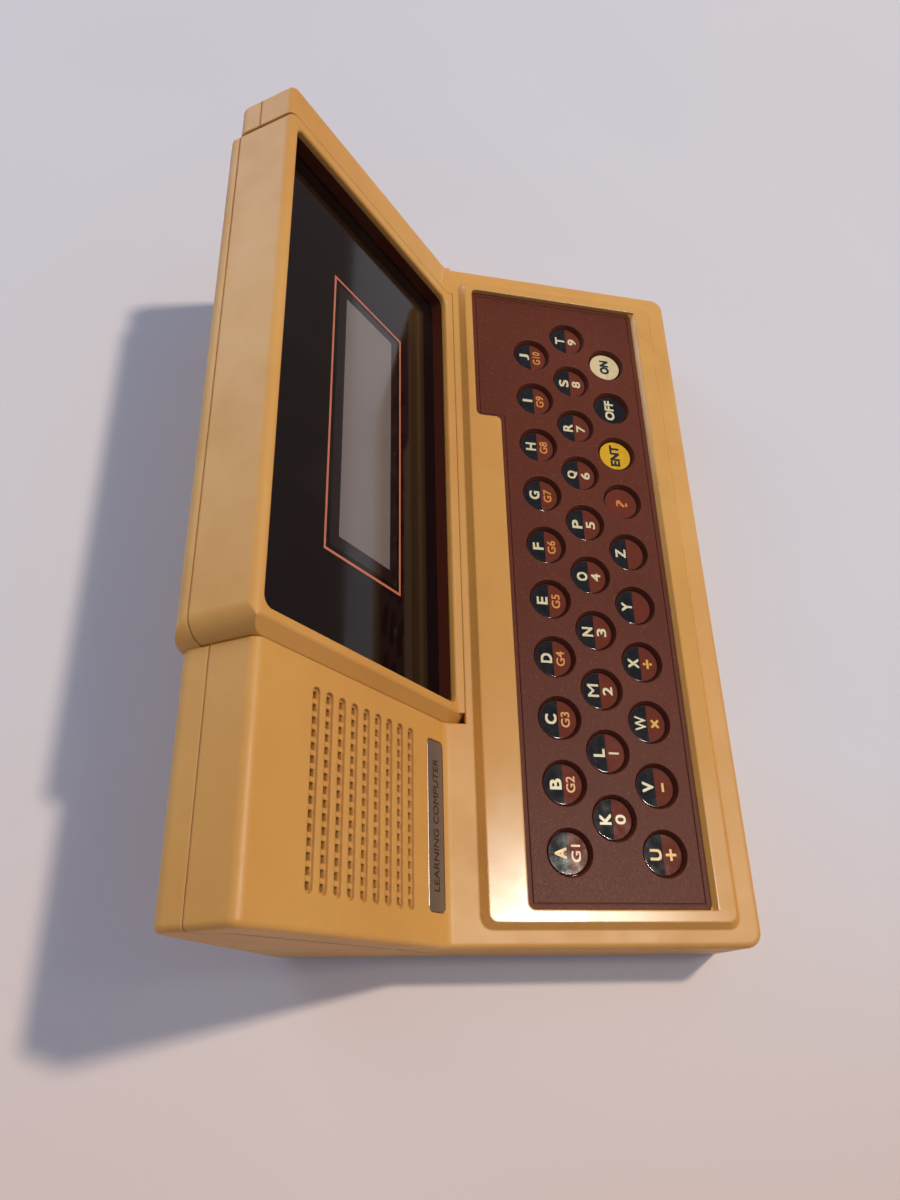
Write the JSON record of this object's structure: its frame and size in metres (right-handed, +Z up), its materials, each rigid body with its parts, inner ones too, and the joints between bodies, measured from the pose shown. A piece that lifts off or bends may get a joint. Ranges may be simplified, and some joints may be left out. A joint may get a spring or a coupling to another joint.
{
  "type": "toy learning computer",
  "caption": "Desk-top toy learning computer with a fixed sloping display, a speaker beside it and a flat keyboard of round keys.",
  "frame": {"origin": "on the table under the middle of the object's bounding box", "axes": "+X to the user's right along the key rows, +Y to the back, +Z up; the user sits on the -Y side"},
  "size_m": [0.2314, 0.1594, 0.084],
  "materials": {
    "case_cream": "aged cream plastic, satin",
    "panel_brown": "brown, fine grain",
    "screen_dark": "dark tinted, glossy",
    "lcd_glass": "grey display glass",
    "inner_black": "plain",
    "foil": "brushed foil",
    "rubber_dark": "moulded",
    "rubber_grey": "moulded silicone",
    "board": "solder mask",
    "screw_steel": "zinc plated",
    "chip_black": "moulded package",
    "capacitor_blue": "sleeve",
    "crystal_can": "can",
    "ribbon_grey": "flat cable",
    "speaker_steel": "pressed",
    "speaker_paper": "pressed paper",
    "magnet_iron": "ferrite and plates",
    "plate_silver": "satin",
    "cell_label": "sleeve",
    "contact_brass": "nickel on brass",
    "key_two_tone": "dark upper half, reddish-brown lower half",
    "key_yellow": "plain",
    "key_cream": "plain",
    "key_black": "plain",
    "key_brown": "plain"
  },
  "bodies": {
    "case": {"front_shell": "case_cream", "display_hood": "case_cream", "rear_shell": "case_cream", "keyboard_panel": "panel_brown", "screen_window": "screen_dark", "lcd_glass": "lcd_glass", "lcd_frame": "inner_black", "lcd_reflector": "foil", "zebra_strips": "rubber_dark", "rubber_sheet": "rubber_grey", "keyboard_pcb": "board", "main_pcb": "board", "keyboard_screws": "screw_steel", "pcb_screws": "screw_steel", "shell_screws": "screw_steel", "back_screws": "screw_steel", "processor": "chip_black", "memory_chip": "chip_black", "capacitors": "capacitor_blue", "crystal": "crystal_can", "ribbon_cable": "ribbon_grey", "speaker_frame": "speaker_steel", "speaker_cone": "speaker_paper", "speaker_magnet": "magnet_iron", "speaker_clamps": "screw_steel", "nameplate": "plate_silver", "aa_cells": "cell_label", "battery_contacts": "contact_brass", "rubber_feet": "rubber_dark"},
    "battery_door": {"battery_door": "case_cream"},
    "key_a_body": {"key_a": "key_two_tone"},
    "key_b_body": {"key_b": "key_two_tone"},
    "key_c_body": {"key_c": "key_two_tone"},
    "key_d_body": {"key_d": "key_two_tone"},
    "key_e_body": {"key_e": "key_two_tone"},
    "key_f_body": {"key_f": "key_two_tone"},
    "key_g_body": {"key_g": "key_two_tone"},
    "key_h_body": {"key_h": "key_two_tone"},
    "key_i_body": {"key_i": "key_two_tone"},
    "key_j_body": {"key_j": "key_two_tone"},
    "key_k_body": {"key_k": "key_two_tone"},
    "key_l_body": {"key_l": "key_two_tone"},
    "key_m_body": {"key_m": "key_two_tone"},
    "key_n_body": {"key_n": "key_two_tone"},
    "key_o_body": {"key_o": "key_two_tone"},
    "key_p_body": {"key_p": "key_two_tone"},
    "key_q_body": {"key_q": "key_two_tone"},
    "key_r_body": {"key_r": "key_two_tone"},
    "key_s_body": {"key_s": "key_two_tone"},
    "key_t_body": {"key_t": "key_two_tone"},
    "key_u_body": {"key_u": "key_two_tone"},
    "key_v_body": {"key_v": "key_two_tone"},
    "key_w_body": {"key_w": "key_two_tone"},
    "key_x_body": {"key_x": "key_two_tone"},
    "key_y_body": {"key_y": "key_two_tone"},
    "key_z_body": {"key_z": "key_two_tone"},
    "key_question_body": {"key_question": "key_brown"},
    "key_enter_body": {"key_enter": "key_yellow"},
    "key_off_body": {"key_off": "key_black"},
    "key_on_body": {"key_on": "key_cream"}
  },
  "joints": [
    {"name": "battery_door_slide", "type": "slide", "parent": "case", "child": "battery_door", "axis": [0, 1, 0], "range_m": [0, 0.036]},
    {"name": "key_a_press", "type": "slide", "parent": "case", "child": "key_a_body", "axis": [0, 0, -1], "range_m": [0, 0.001], "stiffness_N_per_m": 600, "springref_m": -0.0005},
    {"name": "key_b_press", "type": "slide", "parent": "case", "child": "key_b_body", "axis": [0, 0, -1], "range_m": [0, 0.001], "stiffness_N_per_m": 600, "springref_m": -0.0005},
    {"name": "key_c_press", "type": "slide", "parent": "case", "child": "key_c_body", "axis": [0, 0, -1], "range_m": [0, 0.001], "stiffness_N_per_m": 600, "springref_m": -0.0005},
    {"name": "key_d_press", "type": "slide", "parent": "case", "child": "key_d_body", "axis": [0, 0, -1], "range_m": [0, 0.001], "stiffness_N_per_m": 600, "springref_m": -0.0005},
    {"name": "key_e_press", "type": "slide", "parent": "case", "child": "key_e_body", "axis": [0, 0, -1], "range_m": [0, 0.001], "stiffness_N_per_m": 600, "springref_m": -0.0005},
    {"name": "key_f_press", "type": "slide", "parent": "case", "child": "key_f_body", "axis": [0, 0, -1], "range_m": [0, 0.001], "stiffness_N_per_m": 600, "springref_m": -0.0005},
    {"name": "key_g_press", "type": "slide", "parent": "case", "child": "key_g_body", "axis": [0, 0, -1], "range_m": [0, 0.001], "stiffness_N_per_m": 600, "springref_m": -0.0005},
    {"name": "key_h_press", "type": "slide", "parent": "case", "child": "key_h_body", "axis": [0, 0, -1], "range_m": [0, 0.001], "stiffness_N_per_m": 600, "springref_m": -0.0005},
    {"name": "key_i_press", "type": "slide", "parent": "case", "child": "key_i_body", "axis": [0, 0, -1], "range_m": [0, 0.001], "stiffness_N_per_m": 600, "springref_m": -0.0005},
    {"name": "key_j_press", "type": "slide", "parent": "case", "child": "key_j_body", "axis": [0, 0, -1], "range_m": [0, 0.001], "stiffness_N_per_m": 600, "springref_m": -0.0005},
    {"name": "key_k_press", "type": "slide", "parent": "case", "child": "key_k_body", "axis": [0, 0, -1], "range_m": [0, 0.001], "stiffness_N_per_m": 600, "springref_m": -0.0005},
    {"name": "key_l_press", "type": "slide", "parent": "case", "child": "key_l_body", "axis": [0, 0, -1], "range_m": [0, 0.001], "stiffness_N_per_m": 600, "springref_m": -0.0005},
    {"name": "key_m_press", "type": "slide", "parent": "case", "child": "key_m_body", "axis": [0, 0, -1], "range_m": [0, 0.001], "stiffness_N_per_m": 600, "springref_m": -0.0005},
    {"name": "key_n_press", "type": "slide", "parent": "case", "child": "key_n_body", "axis": [0, 0, -1], "range_m": [0, 0.001], "stiffness_N_per_m": 600, "springref_m": -0.0005},
    {"name": "key_o_press", "type": "slide", "parent": "case", "child": "key_o_body", "axis": [0, 0, -1], "range_m": [0, 0.001], "stiffness_N_per_m": 600, "springref_m": -0.0005},
    {"name": "key_p_press", "type": "slide", "parent": "case", "child": "key_p_body", "axis": [0, 0, -1], "range_m": [0, 0.001], "stiffness_N_per_m": 600, "springref_m": -0.0005},
    {"name": "key_q_press", "type": "slide", "parent": "case", "child": "key_q_body", "axis": [0, 0, -1], "range_m": [0, 0.001], "stiffness_N_per_m": 600, "springref_m": -0.0005},
    {"name": "key_r_press", "type": "slide", "parent": "case", "child": "key_r_body", "axis": [0, 0, -1], "range_m": [0, 0.001], "stiffness_N_per_m": 600, "springref_m": -0.0005},
    {"name": "key_s_press", "type": "slide", "parent": "case", "child": "key_s_body", "axis": [0, 0, -1], "range_m": [0, 0.001], "stiffness_N_per_m": 600, "springref_m": -0.0005},
    {"name": "key_t_press", "type": "slide", "parent": "case", "child": "key_t_body", "axis": [0, 0, -1], "range_m": [0, 0.001], "stiffness_N_per_m": 600, "springref_m": -0.0005},
    {"name": "key_u_press", "type": "slide", "parent": "case", "child": "key_u_body", "axis": [0, 0, -1], "range_m": [0, 0.001], "stiffness_N_per_m": 600, "springref_m": -0.0005},
    {"name": "key_v_press", "type": "slide", "parent": "case", "child": "key_v_body", "axis": [0, 0, -1], "range_m": [0, 0.001], "stiffness_N_per_m": 600, "springref_m": -0.0005},
    {"name": "key_w_press", "type": "slide", "parent": "case", "child": "key_w_body", "axis": [0, 0, -1], "range_m": [0, 0.001], "stiffness_N_per_m": 600, "springref_m": -0.0005},
    {"name": "key_x_press", "type": "slide", "parent": "case", "child": "key_x_body", "axis": [0, 0, -1], "range_m": [0, 0.001], "stiffness_N_per_m": 600, "springref_m": -0.0005},
    {"name": "key_y_press", "type": "slide", "parent": "case", "child": "key_y_body", "axis": [0, 0, -1], "range_m": [0, 0.001], "stiffness_N_per_m": 600, "springref_m": -0.0005},
    {"name": "key_z_press", "type": "slide", "parent": "case", "child": "key_z_body", "axis": [0, 0, -1], "range_m": [0, 0.001], "stiffness_N_per_m": 600, "springref_m": -0.0005},
    {"name": "key_question_press", "type": "slide", "parent": "case", "child": "key_question_body", "axis": [0, 0, -1], "range_m": [0, 0.001], "stiffness_N_per_m": 600, "springref_m": -0.0005},
    {"name": "key_enter_press", "type": "slide", "parent": "case", "child": "key_enter_body", "axis": [0, 0, -1], "range_m": [0, 0.001], "stiffness_N_per_m": 600, "springref_m": -0.0005},
    {"name": "key_off_press", "type": "slide", "parent": "case", "child": "key_off_body", "axis": [0, 0, -1], "range_m": [0, 0.001], "stiffness_N_per_m": 600, "springref_m": -0.0005},
    {"name": "key_on_press", "type": "slide", "parent": "case", "child": "key_on_body", "axis": [0, 0, -1], "range_m": [0, 0.001], "stiffness_N_per_m": 600, "springref_m": -0.0005}
  ]
}
